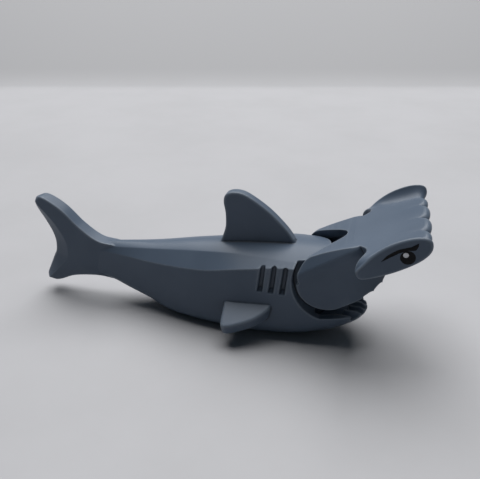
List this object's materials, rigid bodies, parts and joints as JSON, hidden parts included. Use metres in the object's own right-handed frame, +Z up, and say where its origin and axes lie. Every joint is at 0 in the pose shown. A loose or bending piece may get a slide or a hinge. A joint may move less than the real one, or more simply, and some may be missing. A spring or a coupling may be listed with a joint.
{
  "type": "toy shark figurine",
  "caption": "Hammerhead shark figurine of moulded plastic, with a hinged upper jaw that opens over a toothed lower jaw.",
  "frame": {"origin": "middle of the flat under the belly that the figurine rests on", "axes": "+X runs from the tail to the nose, +Y to the shark's left side, and +Z up"},
  "size_m": [0.1155, 0.0364, 0.04],
  "materials": {
    "body_plastic": "moulded blue-grey plastic with a satin sheen",
    "head_plastic": "moulded blue-grey plastic with a satin sheen, with a black eye and brow printed on each lobe"
  },
  "bodies": {
    "body": {"body": "body_plastic"},
    "upper_jaw": {"head": "head_plastic"}
  },
  "joints": [
    {"name": "jaw_hinge", "type": "hinge", "parent": "body", "child": "upper_jaw", "pos_m": [0.0265, 0, 0.0204], "axis": [0, -1, 0], "range_deg": [-42, 8]}
  ]
}
